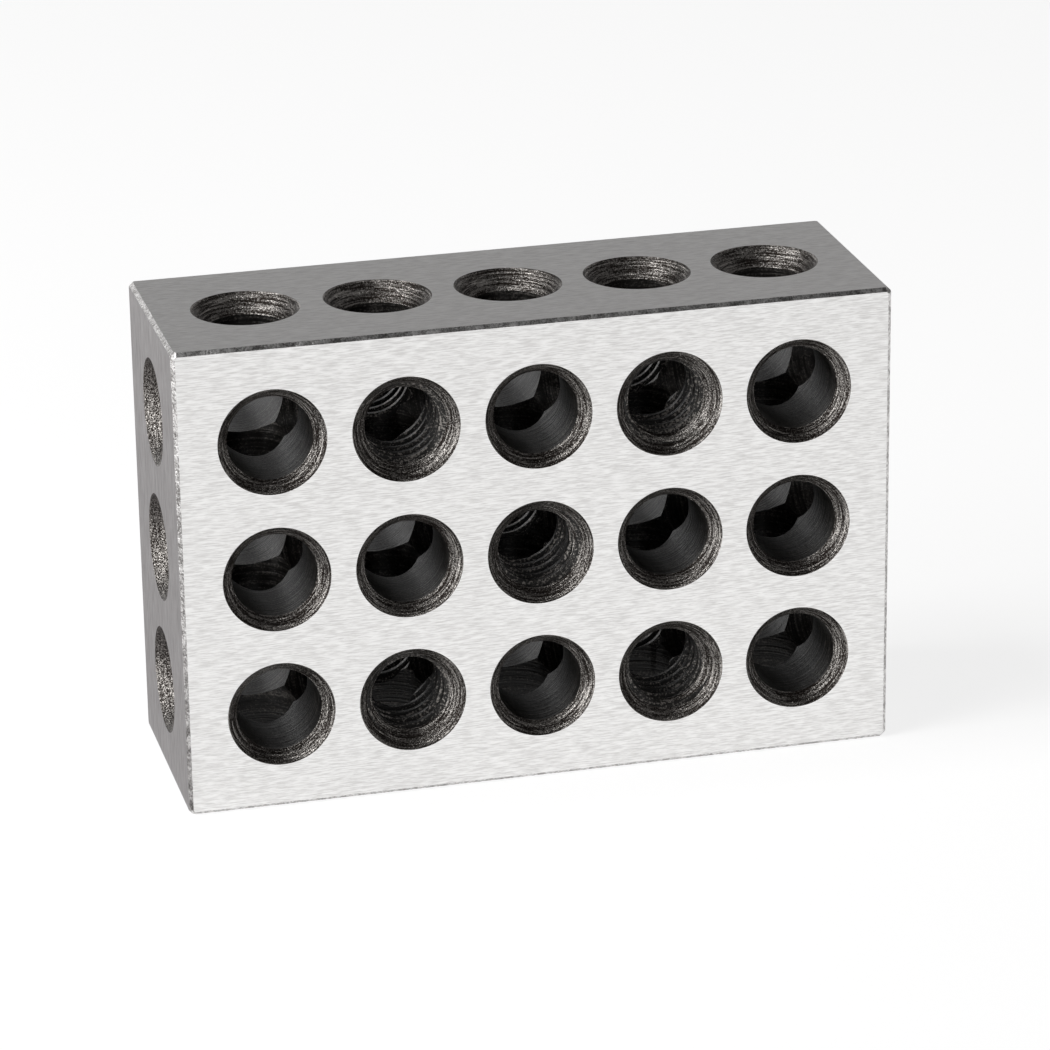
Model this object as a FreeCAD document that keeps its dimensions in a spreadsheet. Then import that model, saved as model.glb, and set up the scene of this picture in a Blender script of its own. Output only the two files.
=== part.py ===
import FreeCAD, Part
import os
import Sketcher

# A machinist's setup block of the 1-2-3 pattern: one piece of hardened steel, ground square to
# 3 x 1 x 2 inches, drilled through from all three pairs of faces so that the bores cross inside.
# Frame: X along the length, Y across the width, Z up; the origin lies at the middle of the base.

doc = FreeCAD.newDocument("setup_block")

# ---- driving dimensions, in millimetres and degrees ----
DIMENSIONS = (
    ("length", 76.2, "3 inch edge, along X"),
    ("width", 25.4, "1 inch edge, along Y"),
    ("height", 50.8, "2 inch edge, along Z"),
    ("edge_chamfer", 0.4, "leg of the ground bevel on the twelve edges"),
    ("corner_nip", 1.0, "distance along each sharp edge at which a corner's small facet would cut it"),
    ("column_margin", 10.1, "end face to the axis of the nearest column of holes"),
    ("row_margin", 10.4, "top or bottom face to the axis of the nearest row of holes"),
    ("bore_diameter", 9.0, "plain holes across the width"),
    ("long_bore_diameter", 7.9375, "holes down the height and along the length"),
    ("tapped_diameter", 7.9375, "core of the tapped holes, the drill for a 3/8-16 thread"),
    ("mouth_diameter", 11.4, "every countersink, where it meets its face"),
    ("countersink_angle", 82.0, "full angle of every countersink"),
)

sheet = doc.addObject("Spreadsheet::Sheet", "dims")
for row, (alias, value, meaning) in enumerate(DIMENSIONS, start=1):
    sheet.set("A%d" % row, meaning)
    sheet.set("B%d" % row, str(value))
    sheet.setAlias("B%d" % row, alias)
doc.recompute()

COLUMNS = 5             # holes along the length
ROWS = 3                # holes up the height
OVERRUN = 1.0           # how far each cutter runs on past the face it opens
ACROSS = "(dims.length - 2 * dims.column_margin)"       # first column's axis to the last one's
UP = "(dims.height - 2 * dims.row_margin)"              # first row's axis to the last one's
COLUMN_STEP = "%s / %d" % (ACROSS, COLUMNS - 1)
ROW_STEP = "%s / %d" % (UP, ROWS - 1)

body = doc.addObject("PartDesign::Body", "setup_block")
body.Label = "setup_block"
origin = {item.Role: item for item in body.Origin.OriginFeatures}


def sketch_on(name, plane, at=("0", "0", "0"), turn=None):
    """A sketch on one of the body's origin planes; its own origin is moved to `at`, three
    expressions in that plane's frame, and it is turned by the rotation `turn`."""
    sketch = body.newObject("Sketcher::SketchObject", name)
    sketch.AttachmentSupport = [(origin[plane], "")]
    sketch.MapMode = "FlatFace"
    sketch.AttachmentOffset = FreeCAD.Placement(FreeCAD.Vector(), turn or FreeCAD.Rotation())
    for letter, expression in zip("xyz", at):
        sketch.setExpression("AttachmentOffset.Base.%s" % letter, expression)
    return sketch


def dimension(sketch, name, expression, *arguments):
    """One named driving constraint of a sketch, bound to the sheet."""
    index = sketch.addConstraint(Sketcher.Constraint(*arguments))
    sketch.renameConstraint(index, name)
    sketch.setExpression("Constraints.%s" % name, expression)


def feature(kind, name, **settings):
    """A feature of the body, with its settings made in the order given."""
    made = body.newObject("PartDesign::" + kind, name)
    for setting, value in settings.items():
        setattr(made, setting, value)
    return made


# ---- the blank: a plain bar, bevelled along its edges and nipped at its corners ----
FIRST, SECOND = 1, 2        # the two ends of a sketch line
plan = sketch_on("plan", "XY_Plane")
corners = [FreeCAD.Vector(x, y, 0) for x, y in ((-30, -10), (30, -10), (30, 10), (-30, 10))]
for start, end in zip(corners, corners[1:] + corners[:1]):
    plan.addGeometry(Part.LineSegment(start, end), False)
for side in range(4):
    plan.addConstraint(Sketcher.Constraint("Coincident", side, SECOND, (side + 1) % 4, FIRST))
for side in (0, 2):
    plan.addConstraint(Sketcher.Constraint("Horizontal", side))
for side in (1, 3):
    plan.addConstraint(Sketcher.Constraint("Vertical", side))
plan.addConstraint(Sketcher.Constraint("Symmetric", 0, FIRST, 2, FIRST, -1, FIRST))
dimension(plan, "length", "dims.length", "DistanceX", 0, FIRST, 0, SECOND, 60.0)
dimension(plan, "width", "dims.width", "DistanceY", 1, FIRST, 1, SECOND, 20.0)

bar = feature("Pad", "bar", Profile=plan)
bar.setExpression("Length", "dims.height")
doc.recompute()

bevels = feature("Chamfer", "bevels", Base=(bar, ["Edge%d" % n for n in range(1, 13)]))
bevels.setExpression("Size", "dims.edge_chamfer")
doc.recompute()

# Each corner facet is square to the corner's diagonal. One is cut, then mirrored to the rest.
nip_turn = FreeCAD.Rotation(FreeCAD.Vector(0, 0, 1), FreeCAD.Vector(1, 1, 1))
nip_plan = sketch_on("nip_plan", "XY_Plane", turn=nip_turn, at=(
    "dims.length / 2 - dims.corner_nip / 3",
    "dims.width / 2 - dims.corner_nip / 3",
    "dims.height - dims.corner_nip / 3"))
nip_plan.addGeometry(Part.Circle(FreeCAD.Vector(), FreeCAD.Vector(0, 0, 1), 1.0), False)
nip_plan.addConstraint(Sketcher.Constraint("Coincident", 0, 3, -1, FIRST))
dimension(nip_plan, "radius", "dims.corner_nip", "Radius", 0, 1.0)
nip = feature("Pocket", "nip", Profile=nip_plan, Reversed=True)
nip.setExpression("Length", "dims.corner_nip")
doc.recompute()

mid_height = body.newObject("PartDesign::Plane", "mid_height")
mid_height.AttachmentSupport = [(origin["XY_Plane"], "")]
mid_height.MapMode = "FlatFace"
mid_height.setExpression("AttachmentOffset.Base.z", "dims.height / 2")
nips = feature("MultiTransform", "nips", Originals=[nip])
nips.Transformations = [
    feature("Mirrored", "nip_end_to_end", MirrorPlane=(origin["YZ_Plane"], [""])),
    feature("Mirrored", "nip_side_to_side", MirrorPlane=(origin["XZ_Plane"], [""])),
    feature("Mirrored", "nip_top_to_bottom", MirrorPlane=(mid_height, [""])),
]
body.Tip = nips
doc.recompute()


# ---- the holes: each is a bore right through, with the same countersink at both ends ----
def hole(name, diameter, span, plane, at, turn=None):
    """A hole cut by a revolved profile about the sketch's own vertical axis, half each way from
    its middle: the wall at `diameter`, opening at both ends to the mouth over the face `span`."""
    lead = "(dims.mouth_diameter - dims.%s) / 2 / tan(dims.countersink_angle * 1deg / 2)" % diameter
    widening = "%s * tan(dims.countersink_angle * 1deg / 2)" % OVERRUN
    profile = sketch_on(name + "_profile", plane, at, turn)
    points = ((0, -14), (7, -14), (4, -11), (4, 11), (7, 14), (0, 14))
    points = [FreeCAD.Vector(x, y, 0) for x, y in points]
    count = len(points)
    for start, end in zip(points, points[1:] + points[:1]):
        profile.addGeometry(Part.LineSegment(start, end), False)
    for line in range(count):
        follows = (line + 1) % count
        profile.addConstraint(Sketcher.Constraint("Coincident", line, SECOND, follows, FIRST))
    profile.addConstraint(Sketcher.Constraint("PointOnObject", 0, FIRST, -2))
    profile.addConstraint(Sketcher.Constraint("PointOnObject", 5, FIRST, -2))
    profile.addConstraint(Sketcher.Constraint("Horizontal", 0))
    profile.addConstraint(Sketcher.Constraint("Horizontal", 4))
    profile.addConstraint(Sketcher.Constraint("Symmetric", 1, FIRST, 4, FIRST, -1))
    profile.addConstraint(Sketcher.Constraint("Symmetric", 2, FIRST, 3, FIRST, -1))
    dimension(profile, "wall", "dims.%s / 2" % diameter, "DistanceX", -1, FIRST, 3, FIRST, 4.0)
    dimension(profile, "wall_end", "dims.%s / 2 - %s" % (span, lead),
              "DistanceY", -1, FIRST, 3, FIRST, 11.0)
    dimension(profile, "flare", "dims.mouth_diameter / 2 + %s" % widening,
              "DistanceX", -1, FIRST, 4, FIRST, 7.0)
    dimension(profile, "flare_end", "dims.%s / 2 + %s" % (span, OVERRUN),
              "DistanceY", -1, FIRST, 4, FIRST, 14.0)
    doc.recompute()
    before = body.Shape.Volume
    cut = feature("Groove", name, Profile=profile, ReferenceAxis=(profile, ["V_Axis"]), Angle=360.0)
    doc.recompute()
    if not cut.Shape.Volume < before:
        raise RuntimeError("%s cuts nothing" % name)
    return cut


def repeat(cut, *runs):
    """The same hole repeated along each run: an origin axis, its whole length and its count."""
    pattern = feature("MultiTransform", cut.Name + "_pattern", Originals=[cut])
    steps = []
    for number, (axis, length, count) in enumerate(runs):
        step = feature("LinearPattern", "%s_run_%d" % (cut.Name, number),
                       Direction=(origin[axis], [""]), Occurrences=count)
        step.setExpression("Length", length)
        steps.append(step)
    pattern.Transformations = steps
    body.Tip = pattern
    doc.recompute()
    return pattern


FIRST_COLUMN = "dims.column_margin - dims.length / 2"
SECOND_COLUMN = "%s + %s" % (FIRST_COLUMN, COLUMN_STEP)
FOURTH_COLUMN = "-(%s)" % SECOND_COLUMN
BOTTOM_ROW = "dims.row_margin"
MID_ROW = "dims.height / 2"

# Across the width, through the two large faces. In the top and bottom rows the plain holes stand
# in the first, third and fifth columns and tapped ones between them. In the middle row the one
# tapped hole is in the third column, with two plain holes on each side of it.
outer_plain = hole("outer_rows_plain", "bore_diameter", "width", "XY_Plane",
                   (FIRST_COLUMN, "0", BOTTOM_ROW))
repeat(outer_plain, ("X_Axis", ACROSS, 3), ("Z_Axis", UP, 2))

left_plain = hole("mid_row_left_plain", "bore_diameter", "width", "XY_Plane",
                  (FIRST_COLUMN, "0", MID_ROW))
repeat(left_plain, ("X_Axis", COLUMN_STEP, 2))

right_plain = hole("mid_row_right_plain", "bore_diameter", "width", "XY_Plane",
                   (FOURTH_COLUMN, "0", MID_ROW))
repeat(right_plain, ("X_Axis", COLUMN_STEP, 2))

outer_tapped = hole("outer_rows_tapped", "tapped_diameter", "width", "XY_Plane",
                    (SECOND_COLUMN, "0", BOTTOM_ROW))
repeat(outer_tapped, ("X_Axis", "2 * %s" % COLUMN_STEP, 2), ("Z_Axis", UP, 2))

centre_tapped = hole("mid_row_tapped", "tapped_diameter", "width", "XY_Plane",
                     ("0", "0", MID_ROW))

# Down through the top face: one hole in line with each column.
upright = hole("upright", "long_bore_diameter", "height", "XZ_Plane",
               (FIRST_COLUMN, MID_ROW, "0"))
repeat(upright, ("X_Axis", ACROSS, COLUMNS))

# Along the length, from end to end: one hole in line with each row.
quarter_turn = FreeCAD.Rotation(FreeCAD.Vector(0, 0, 1), -90)
lengthwise = hole("lengthwise", "long_bore_diameter", "length", "XZ_Plane",
                  ("0", BOTTOM_ROW, "0"), quarter_turn)
repeat(lengthwise, ("Z_Axis", UP, ROWS))

# ---- check the finished document and write the piece ----
for item in doc.Objects:
    if "Invalid" in item.State or "Error" in item.State:
        raise RuntimeError("%s did not build: %s" % (item.Name, item.State))
shape = body.Shape
if shape.isNull() or not shape.isValid() or len(shape.Solids) != 1:
    raise RuntimeError("the block is not one sound solid")

os.makedirs("parts", exist_ok=True)
shape.exportStep(os.path.join("parts", body.Label + ".step"))
print("%s: volume %.1f mm3, %d faces" % (body.Label, shape.Volume, len(shape.Faces)))
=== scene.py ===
"""A ground steel setup block, one by two by three inches, bored through in three directions."""

import bpy
import numpy as np
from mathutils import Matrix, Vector


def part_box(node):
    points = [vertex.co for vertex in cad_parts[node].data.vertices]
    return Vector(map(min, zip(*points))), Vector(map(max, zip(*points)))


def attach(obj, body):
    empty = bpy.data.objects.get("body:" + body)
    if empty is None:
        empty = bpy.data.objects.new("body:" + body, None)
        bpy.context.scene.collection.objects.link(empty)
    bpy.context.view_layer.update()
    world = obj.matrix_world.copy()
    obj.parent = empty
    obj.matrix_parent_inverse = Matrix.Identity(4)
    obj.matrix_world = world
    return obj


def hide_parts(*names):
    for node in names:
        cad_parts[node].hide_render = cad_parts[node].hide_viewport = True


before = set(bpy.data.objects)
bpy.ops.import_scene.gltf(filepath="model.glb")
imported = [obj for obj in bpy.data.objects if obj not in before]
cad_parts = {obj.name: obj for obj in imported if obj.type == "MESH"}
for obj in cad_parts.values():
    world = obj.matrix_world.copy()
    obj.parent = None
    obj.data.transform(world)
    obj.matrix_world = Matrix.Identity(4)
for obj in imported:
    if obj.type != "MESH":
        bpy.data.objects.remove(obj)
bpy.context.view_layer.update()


# --- The block -------------------------------------------------------------------------------
# One bar of tool steel, hardened, then ground flat and square on all six faces.
# Its twelve edges are stoned to a narrow bevel, and its eight corners are nipped off.

low, high = (np.array(corner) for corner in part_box("setup_block"))
length, width, height = high - low
bevel = 0.0004
nip = 0.0010


class Reading:
    """One output in a finish's node tree. Sums written on it become Math nodes."""

    def __init__(self, tree, socket=None):
        self.tree, self.socket = tree, socket

    def node(self, kind, settings=None, sockets=None, output=0):
        """Adds a node: its settings first, then the values or links of its sockets."""
        made = self.tree.nodes.new("ShaderNode" + kind)
        for name, value in (settings or {}).items():
            if name == "stops":
                ramp = made.color_ramp
                while len(ramp.elements) < len(value):
                    ramp.elements.new(1.0)
                for stop, (position, colour) in zip(ramp.elements, value):
                    stop.position, stop.color = position, (*colour, 1.0)
            else:
                setattr(made, name, value)
        for name, value in (sockets or {}).items():
            if isinstance(value, Reading):
                self.tree.links.new(value.socket, made.inputs[name])
            else:
                made.inputs[name].default_value = value
        return Reading(self.tree, made.outputs[output])

    def sum(self, operation, *values):
        return self.node("Math", {"operation": operation}, dict(enumerate(values)))

    def __add__(self, other):
        return self.sum("ADD", self, other)

    def __sub__(self, other):
        return self.sum("SUBTRACT", self, other)

    def __rsub__(self, other):
        return self.sum("SUBTRACT", other, self)

    def __mul__(self, other):
        return self.sum("MULTIPLY", self, other)

    __radd__, __rmul__ = __add__, __mul__

    def step(self, start, end):
        """0 up to start and 1 from end, smooth between."""
        return self.node("MapRange", {"interpolation_type": "SMOOTHSTEP"},
                         {0: self, 1: start, 2: end})

    def grain(self, per_metre, detail=3.0, roughness=0.5, shift=0.0, warp=0.0):
        """Noise with this many cells to a metre along each axis."""
        spread = self.node("VectorMath", {"operation": "MULTIPLY_ADD"},
                           {0: self, 1: per_metre, 2: (shift, shift, shift)})
        return spread.node("TexNoise", None, {"Vector": spread, "Scale": 1.0, "Detail": detail,
                                              "Roughness": roughness, "Distortion": warp})

    def tint(self, dark, light):
        """A colour between two others, by this reading."""
        return self.node("Mix", {"data_type": "RGBA"}, {0: self, 6: (*dark, 1), 7: (*light, 1)}, 2)

    def relief(self, depth):
        """The surface turned as if this reading, times the depth in metres, were its height."""
        return self.node("Bump", None, {"Height": self, "Distance": depth, "Strength": 1.0})


def new_finish(name, **plain):
    """A material with these plain numbers: itself, its shader's inputs, and the place on the
    piece in metres."""
    material = bpy.data.materials.new(name)
    material.use_nodes = True
    shader = material.node_tree.nodes["Principled BSDF"].inputs
    for socket, value in plain.items():
        shader[socket.replace("_", " ")].default_value = value
    place = Reading(material.node_tree).node("TexCoord", output="Object")
    return material, shader, place


def feed(shader, **readings):
    """Links each reading to the shader's input of that name."""
    for socket, reading in readings.items():
        reading.tree.links.new(reading.socket, shader[socket.replace("_", " ")])


def ground_finish(name, streaks, shift):
    """Steel as the grinding wheel leaves it: short fine lines along the wheel's travel, with a few
    stray shorter ones and specks. The streaks are cells to a metre along each axis."""
    material, shader, place = new_finish(name, Metallic=1.0)
    fine = place.grain(streaks, 2.0, 0.6, shift, 0.3)
    shorter = tuple(1.7 * cells if cells < 1000 else 0.7 * cells for cells in streaks)
    stray = place.grain(shorter, 2.0, 0.6, shift + 7.0, 0.3)
    specks = place.grain((1500.0, 1500.0, 1500.0), 1.0, 0.5, shift + 3.0).step(0.80, 0.86)
    lines = fine * 0.65 + stray * 0.35
    shade = lines.step(0.36, 0.62) - 0.5 * specks
    feed(shader,
         Base_Color=shade.tint((0.69, 0.68, 0.67), (0.945, 0.94, 0.93)),
         Roughness=0.26 + 0.16 * fine,
         Normal=lines.relief(0.00002))
    return material


side_finish = ground_finish("ground_sides", (520.0, 8500.0, 8500.0), 3.0)
end_finish = ground_finish("ground_ends", (3600.0, 3600.0, 260.0), 11.0)


def stoned_finish(name):
    """A bevel rubbed by hand: small nicks in uneven patches, some bright and some dull."""
    material, shader, place = new_finish(name, Metallic=1.0)
    marks = place.grain((4200.0, 4200.0, 4200.0), 2.0, 0.7, 5.0)
    blocks = place.grain((900.0, 900.0, 900.0), 2.0, 0.6, 2.0)
    shade = (marks * 0.6 + blocks * 0.4).step(0.36, 0.64)
    feed(shader,
         Base_Color=shade.tint((0.22, 0.21, 0.205), (0.80, 0.79, 0.78)),
         Roughness=0.22 + 0.3 * blocks,
         Normal=(marks + blocks).relief(0.00006))
    return material


bevel_finish = stoned_finish("stoned_bevels")


def mesh_piece(name, points, faces, finishes, finish_of_face=None):
    """An object of these points and faces, with the number of each face's finish."""
    mesh = bpy.data.meshes.new(name)
    mesh.from_pydata(points.tolist(), [], [list(map(int, face)) for face in faces])
    for finish in finishes:
        mesh.materials.append(finish)
    if finish_of_face is not None:
        mesh.polygons.foreach_set("material_index", finish_of_face)
    piece = bpy.data.objects.new(name, mesh)
    bpy.context.scene.collection.objects.link(piece)
    return piece


def block_hull():
    """The block's corner points and faces.
    Each corner has six points, the six orders of (0, bevel, nip - bevel) measured inwards from it.
    A face is the points that lie furthest in one of the 26 directions made of -1, 0 and 1, in turn
    round their middle: six flats, twelve bevels and eight nips."""
    orders = np.array([(a, b, 3 - a - b) for a in range(3) for b in range(3) if a != b])
    inward = np.array([0.0, bevel, nip - bevel])[orders]
    signs = np.stack(np.meshgrid([-1, 1], [-1, 1], [-1, 1]), -1).reshape(-1, 1, 3)
    points = (signs * ((high - low) / 2 - inward)).reshape(-1, 3)
    faces, kinds = [], []
    for way in np.stack(np.meshgrid([-1, 0, 1], [-1, 0, 1], [-1, 0, 1]), -1).reshape(-1, 3):
        if not way.any():
            continue
        reach = points @ way
        ring = np.flatnonzero(reach > reach.max() - 1e-6)
        out = way / np.linalg.norm(way)
        across = np.cross(out, np.roll(out, 1) + (0.3, 0.1, 0.0))
        spoke = points[ring] - points[ring].mean(0)
        turn = np.arctan2(spoke @ np.cross(out, across), spoke @ across)
        faces.append(ring[np.argsort(turn)])
        kinds.append(2 if abs(way).sum() > 1 else int(way[0] != 0))
    return points + (low + high) / 2, faces, kinds


points, faces, kinds = block_hull()
block = mesh_piece("ground_block", points, faces, [side_finish, end_finish, bevel_finish], kinds)


# --- The drilled bores -----------------------------------------------------------------------
# Five columns and three rows of bores cross the block from face to face, and meet inside it.
# Each is drilled through and countersunk at both mouths, and keeps the dark scale of hardening.

bore_radii = (0.00396875, 0.0045, 0.00396875)
mouth_radius = 0.0057
sink_slope = np.tan(np.radians(41))
overrun = 0.001
segments = 96
end_margin, edge_margin = 0.0101, 0.0104
columns = np.linspace(-2, 2, 5) * (length / 2 - end_margin) / 2 + (low[0] + high[0]) / 2
rows = np.linspace(-1, 1, 3) * (height / 2 - edge_margin) + (low[2] + high[2]) / 2
middle = (low[1] + high[1]) / 2


def scale_finish(name, axis, depth, worn):
    """Hardening scale in a bore: a thin black-brown skin, glossy, with the drill's rings round it
    and, where worn, bright broken crests."""
    material, shader, place = new_finish(name, IOR=1.36)
    ringed = tuple(np.where(np.arange(3) == axis, 4200.0, 110.0))
    rings = place.grain(ringed, 3.0, 0.65, 2.0 + axis)
    blotch = place.grain((900.0, 900.0, 900.0), 3.0, 0.6, 9.0)
    flecks = place.grain((4200.0, 4200.0, 4200.0), 2.0, 0.7, 1.0)
    rubbed = worn * (rings * 0.4 + flecks * 0.6).step(0.50, 0.62)
    shade = (rings * 0.4 + blotch * 0.3 + rubbed * 0.9).step(0.25, 1.1)
    feed(shader,
         Base_Color=shade.tint((0.005, 0.0045, 0.004), (0.30, 0.28, 0.26)),
         Metallic=rubbed,
         Roughness=0.24 + 0.24 * blotch,
         Normal=rings.relief(depth))
    return material


def sink_finish(name, axis, torn_share):
    """The countersink: torn rings left by the cutter, dark with scale and worn bright on crests."""
    material, shader, place = new_finish(name, Metallic=1.0)
    ringed = tuple(np.where(np.arange(3) == axis, 6000.0, 260.0))
    rings = place.grain(ringed, 3.0, 0.7, 4.0 + axis, 0.3)
    torn = place.grain((6200.0, 6200.0, 6200.0), 2.0, 0.7, 6.0)
    worn = (rings * (1 - torn_share) + torn * torn_share).step(0.45, 0.64)
    feed(shader,
         Base_Color=worn.tint((0.028, 0.023, 0.020), (0.60, 0.57, 0.54)),
         Roughness=0.40 - 0.2 * worn,
         Normal=(rings * 0.6 + torn * 0.6).relief(0.00014))
    return material


scale_finishes = [scale_finish("scale_" + "xyz"[axis], axis, 0.00009, 0.25) for axis in range(3)]
sink_finishes = [sink_finish("sink_" + "xyz"[axis], axis, share)
                 for axis, share in enumerate((0.75, 0.45, 0.45))]


def turned(stations, radii, bands, axis, centres, phase=0.0):
    """Solids of revolution, one for each centre: a radius for each station along the axis, carried
    round it in equal steps, with a flat disc at each end. The bands are the walls' finishes."""
    turn = 2 * np.pi * (np.arange(segments) + phase) / segments
    one, two = [(1, 2), (2, 0), (0, 1)][axis]
    grid = np.zeros((len(stations), segments, 3))
    grid[..., axis] = np.array(stations)[:, None]
    grid[..., one] = np.array(radii)[:, None] * np.cos(turn)
    grid[..., two] = np.array(radii)[:, None] * np.sin(turn)
    row, column = np.meshgrid(np.arange(len(stations) - 1), np.arange(segments), indexing="ij")
    here, ahead = row * segments + column, row * segments + (column + 1) % segments
    walls = np.stack([here, ahead, ahead + segments, here + segments], -1).reshape(-1, 4)
    discs = [np.arange(segments)[::-1], np.arange(segments) + (len(stations) - 1) * segments]
    faces = [face + number * len(stations) * segments
             for number in range(len(centres)) for face in (*walls, *discs)]
    points = (np.array(centres)[:, None] + grid.reshape(1, -1, 3)).reshape(-1, 3)
    return points, faces, [*np.repeat(bands, segments), bands[0], bands[-1]] * len(centres)


def cut_away(tool):
    """Takes the tool's solid out of the block, and leaves the tool's finish on the new walls."""
    cut = block.modifiers.new(tool.name, "BOOLEAN")
    cut.operation, cut.solver, cut.object = "DIFFERENCE", "MANIFOLD", tool
    cut.material_mode = "TRANSFER"
    graph = bpy.context.evaluated_depsgraph_get()
    left = bpy.data.meshes.new_from_object(block.evaluated_get(graph))
    block.modifiers.clear()
    block.data = left
    bpy.data.objects.remove(tool)


def bores(name, axis, centres, phase):
    """Through bores along one axis: from the mouth's radius the wall closes in with the depth below
    the face, as on an 82 degree countersink, down to the bore's own radius."""
    wall, flare = bore_radii[axis], mouth_radius + overrun * sink_slope
    sink = (mouth_radius - wall) / sink_slope
    stations = [low[axis] - overrun, low[axis] + sink, high[axis] - sink, high[axis] + overrun]
    radii = [flare, wall, wall, flare]
    points, faces, kinds = turned(stations, radii, [1, 0, 1], axis, centres, phase)
    return mesh_piece(name, points, faces, [scale_finishes[axis], sink_finishes[axis]], kinds)


tapped_places = [(1, 2), (3, 2), (2, 1), (1, 0), (3, 0)]
crossings = [(c, r) for c in range(5) for r in range(3)]
plain = [(columns[c], 0.0, rows[r]) for c, r in crossings if (c, r) not in tapped_places]
tapped = [(columns[c], 0.0, rows[r]) for c, r in tapped_places]
cut_away(bores("cross_bores", 1, plain, 0.0))
cut_away(bores("upright_bores", 2, [(x, middle, 0.0) for x in columns], 0.31))
cut_away(bores("lengthwise_bores", 0, [(0.0, middle, z) for z in rows], 0.17))


# --- The tapped holes ------------------------------------------------------------------------
# Five of the crossing holes are drilled smaller and tapped 3/8 inch, sixteen threads to the inch.
# They are countersunk like the others, before the tap goes through.

pitch = 0.0254 / 16
core_radius = 0.00396875
root_radius = 0.0047625
half_flat = 1 / 16
thread_segments = 64
thread_finish = scale_finish("scale_threads", 1, 0.00005, 0.85)


def taps(name, places, phases):
    """The space that each tap clears: a 60 degree groove wound round the axis, right-handed.
    Along the axis a turn has four lines, at the start and end of the root and of the crest. Each
    drops by one pitch as it goes once round, so its end meets the start of the fourth line below.
    Heights are in pitches until the last step, and the ends' middle points stand 2 pitches out."""
    flank = (root_radius - core_radius) * np.tan(np.radians(30)) / pitch
    turns = int(np.ceil((width + 4 * overrun) / pitch)) + 1
    lines = np.array([-flank - half_flat, -half_flat, half_flat, half_flat + flank])
    around, last, top = np.arange(thread_segments), thread_segments - 1, 4 * turns - 1
    angle = 2 * np.pi * around / thread_segments
    station = (np.arange(turns)[:, None] + lines).reshape(-1, 1) - angle / (2 * np.pi)
    radius = np.tile([core_radius, root_radius, root_radius, core_radius], turns)[:, None]
    radius = np.repeat(radius, thread_segments, 1)
    ends = [[0, station.min() - 2, 0], [0, station.max() + 2, 0]]
    shape = np.stack([radius * np.cos(angle), station, radius * np.sin(angle)], -1).reshape(-1, 3)
    shape = np.concatenate([shape, ends])
    spot = np.arange(4 * turns * thread_segments).reshape(4 * turns, thread_segments)
    sheet = np.stack([spot[:-1, :-1], spot[1:, :-1], spot[1:, 1:], spot[:-1, 1:]], -1)
    sheet = sheet.reshape(-1, 4)
    seam = np.stack([spot[4:-1, last], spot[5:, last], spot[1:-4, 0], spot[:-5, 0]], -1)
    first, second = [*spot[0], *spot[1:5, last]], [*spot[top], *spot[top - 4:top, 0]]
    caps = [*zip(first, np.roll(first, -1), [spot.max() + 1] * len(first)),
            *zip(np.roll(second, -1), second, [spot.max() + 2] * len(second))]
    points, faces = [], []
    for number, (place, phase) in enumerate(zip(places, phases)):
        wound = shape + (0, phase - 1, 0)
        wound[:, 1] = low[1] - 2 * overrun + pitch * wound[:, 1]
        points.append(wound + place)
        faces += [np.array(face) + number * len(shape) for face in (*sheet, *seam, *caps)]
    return mesh_piece(name, np.concatenate(points), faces, [thread_finish])


sink_depth = 0.003
sink_end = mouth_radius - sink_depth * sink_slope
flare = mouth_radius + overrun * sink_slope
sinks = [turned([low[1] - overrun, low[1] + sink_depth], [flare, sink_end], [0], 1, tapped, 0.2),
         turned([high[1] - sink_depth, high[1] + overrun], [sink_end, flare], [0], 1, tapped, 0.2)]
for side, (points, faces, kinds) in zip(("front", "back"), sinks):
    cut_away(mesh_piece(side + "_sinks", points, faces, [sink_finishes[1]], kinds))
tap_starts = [0.3, 0.683, 0.1, 0.55, 0.85]
cut_away(taps("taps", tapped, tap_starts))

block.data.shade_smooth()
block.data.set_sharp_from_angle(angle=np.radians(30))
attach(block, "root")
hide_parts("setup_block")


# --- The stage -------------------------------------------------------------------------------
# A white sweep under the block, two soft lamps at its left and a room that darkens upwards.
# Two cards show only in the steel: a grey one for the left end, a white one for its top bevel.

def panel(name, centre, aim, wide, tall):
    """A flat card or lamp's place: its middle, and the way it faces."""
    turn = Vector(aim).to_track_quat("Z", "Y")
    side, up = turn @ Vector((wide / 2, 0, 0)), turn @ Vector((0, tall / 2, 0))
    corners = [Vector(centre) + a * side + b * up for a, b in ((-1, -1), (1, -1), (1, 1), (-1, 1))]
    mesh = bpy.data.meshes.new(name)
    mesh.from_pydata([tuple(corner) for corner in corners], [], [(0, 1, 2, 3)])
    card = bpy.data.objects.new(name, mesh)
    bpy.context.scene.collection.objects.link(card)
    return card


def bare_finish(card, name):
    """A card's empty material: a reading to build on, and the socket that its look goes into."""
    material = bpy.data.materials.new(name)
    material.use_nodes = True
    material.node_tree.nodes.clear()
    card.data.materials.append(material)
    out = material.node_tree.nodes.new("ShaderNodeOutputMaterial")
    return Reading(material.node_tree), out.inputs["Surface"]


floor = panel("floor", (0.0, 0.0, low[2] - 0.00002), (0, 0, 1), 8.0, 8.0)
cards = [("grey_card", (-0.2292, 0.125, low[2] + 0.0001), (0, 0, 1), 0.382, 0.295,
          (0.315, 0.303, 0.307, 1)),
         ("white_card", (-0.215, 0.443, 0.151), (0.354, -0.912, -0.207), 0.32, 0.14,
          (1.5, 1.5, 1.5, 1))]
for name, centre, aim, wide, tall, shade in cards:
    card = panel(name, centre, aim, wide, tall)
    card.visible_camera = card.visible_diffuse = card.visible_shadow = False
    leaf, surface = bare_finish(card, name)
    glow = leaf.node("Emission", None, {"Color": shade, "Strength": 1.0})
    glow.tree.links.new(glow.socket, surface)

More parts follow.
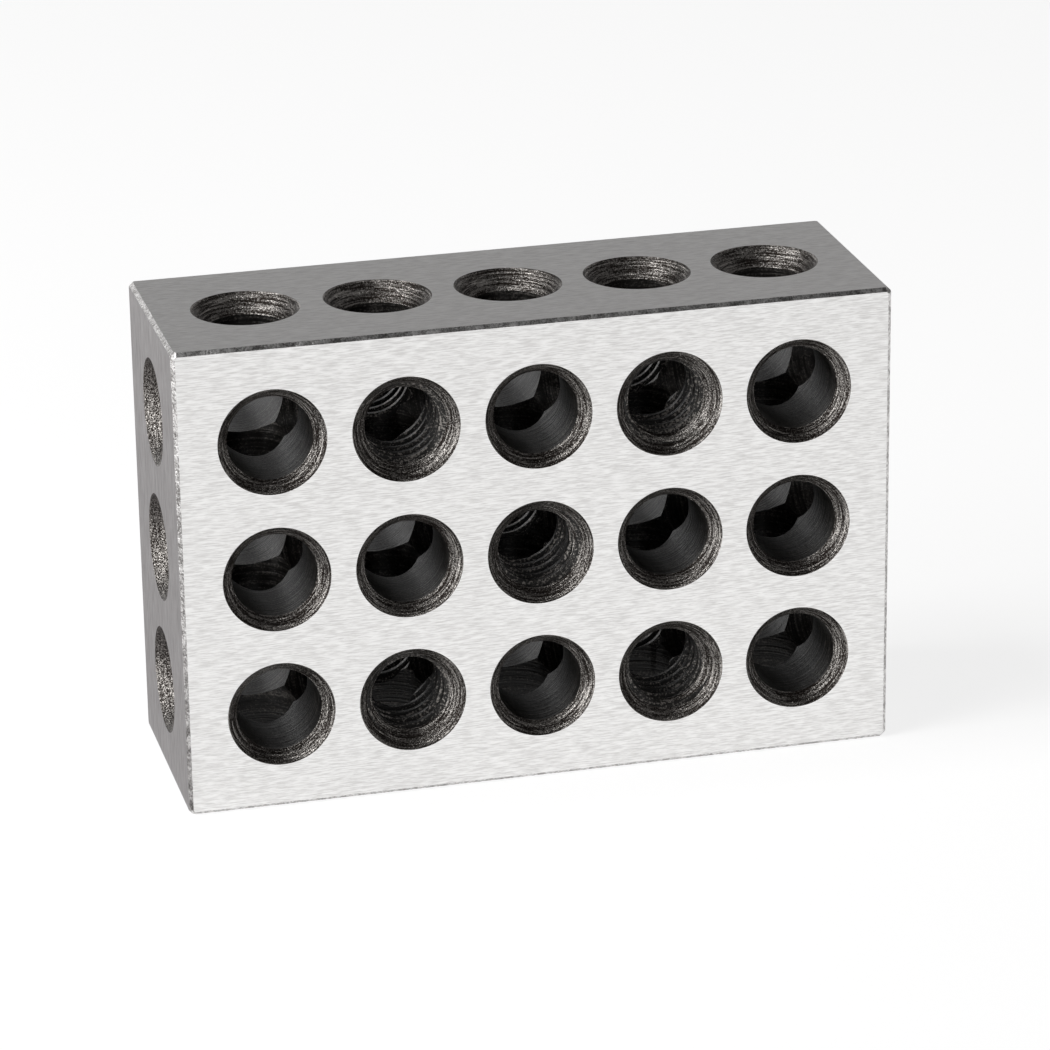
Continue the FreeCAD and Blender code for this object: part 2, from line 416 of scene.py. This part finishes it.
floor_shade = (0.35, 0.35, 0.35, 1)
floor_glow = 0.8
leaf, surface = bare_finish(floor, "white_sweep")
ray = {way: leaf.node("LightPath", output="Is %s Ray" % way)
       for way in ("Camera", "Glossy", "Transmission")}
seen = ray["Camera"] + ray["Glossy"] + ray["Transmission"]
matt = leaf.node("BsdfDiffuse", None, {"Color": floor_shade})
strength = seen.sum("MINIMUM", seen, 1.0) * floor_glow
glow = leaf.node("Emission", None, {"Color": (1, 1, 1, 1), "Strength": strength})
both = leaf.node("AddShader", None, {0: matt, 1: glow})
both.tree.links.new(both.socket, surface)

world = bpy.data.worlds.new("room")
world.use_nodes = True
bpy.context.scene.world = world
tree = world.node_tree
room = tree.nodes["Background"].inputs
way = Reading(tree).node("TexCoord", output="Generated")
rise = way.node("SeparateXYZ", None, {0: way}, "Z")
walls = [(0.0, (0.75, 0.75, 0.75)), (0.10, (0.6, 0.6, 0.6)), (0.3, (0.33, 0.325, 0.325)),
         (0.7, (0.08, 0.08, 0.08)), (1.0, (0.06, 0.06, 0.06))]
glow = rise.node("ValToRGB", {"stops": walls}, {0: rise})
tree.links.new(glow.socket, room["Color"])


def lamp(name, way, distance, wide, tall, power):
    """A soft box that faces the block from this way and distance."""
    data = bpy.data.lights.new(name, "AREA")
    data.shape, data.size, data.size_y, data.energy = "RECTANGLE", wide, tall, power
    box = bpy.data.objects.new(name, data)
    aim = Vector(way).normalized()
    box.location = aim * distance + Vector((0, 0, height / 2))
    box.rotation_euler = aim.to_track_quat("Z", "Y").to_euler()
    bpy.context.scene.collection.objects.link(box)
    return box


lamp("left_box", (-0.90, -0.33, 0.30), 0.7, 0.40, 0.55, 2.6)
lamp("high_box", (-0.52, -0.03, 0.85), 0.7, 0.30, 0.30, 1.8)

camera = bpy.data.objects.new("camera", bpy.data.cameras.new("camera"))
camera.data.lens = 163.44
camera.data.clip_start, camera.data.clip_end = 0.01, 50.0
camera.location = (-0.11264, -0.46246, 0.20351)
camera.rotation_euler = np.radians((69.3149, 0.806, -14.1635))
bpy.context.scene.collection.objects.link(camera)
bpy.context.scene.camera = camera
bpy.context.scene.view_settings.view_transform = "Standard"
